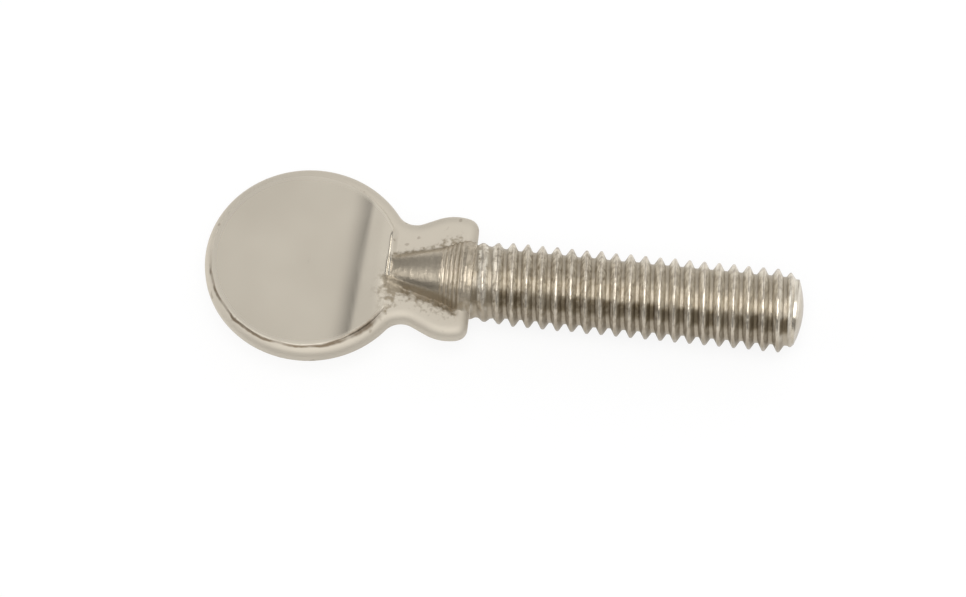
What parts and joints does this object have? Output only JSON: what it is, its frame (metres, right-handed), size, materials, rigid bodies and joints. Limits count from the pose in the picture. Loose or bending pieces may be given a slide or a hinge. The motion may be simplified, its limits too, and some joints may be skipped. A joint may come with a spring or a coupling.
{
  "type": "thumb screw",
  "caption": "Spade-head thumb screw: a flat round grip head on a waisted neck with a shoulder, and a straight right-hand threaded shank with a chamfered tip.",
  "frame": {"origin": "on the screw's axis, in the plane where the shoulder ends and the threaded shank starts", "axes": "+X along the shank to the tip, +Y across the head, +Z square to the flat faces of the head; the screw lies on its shank, 2 mm below the axis"},
  "size_m": [0.0285, 0.0098, 0.004],
  "materials": {
    "nickel": "nickel plated, satin on the forged faces and brighter on the thread's crests"
  },
  "bodies": {
    "root": {"thumb_screw": "nickel"}
  },
  "joints": []
}
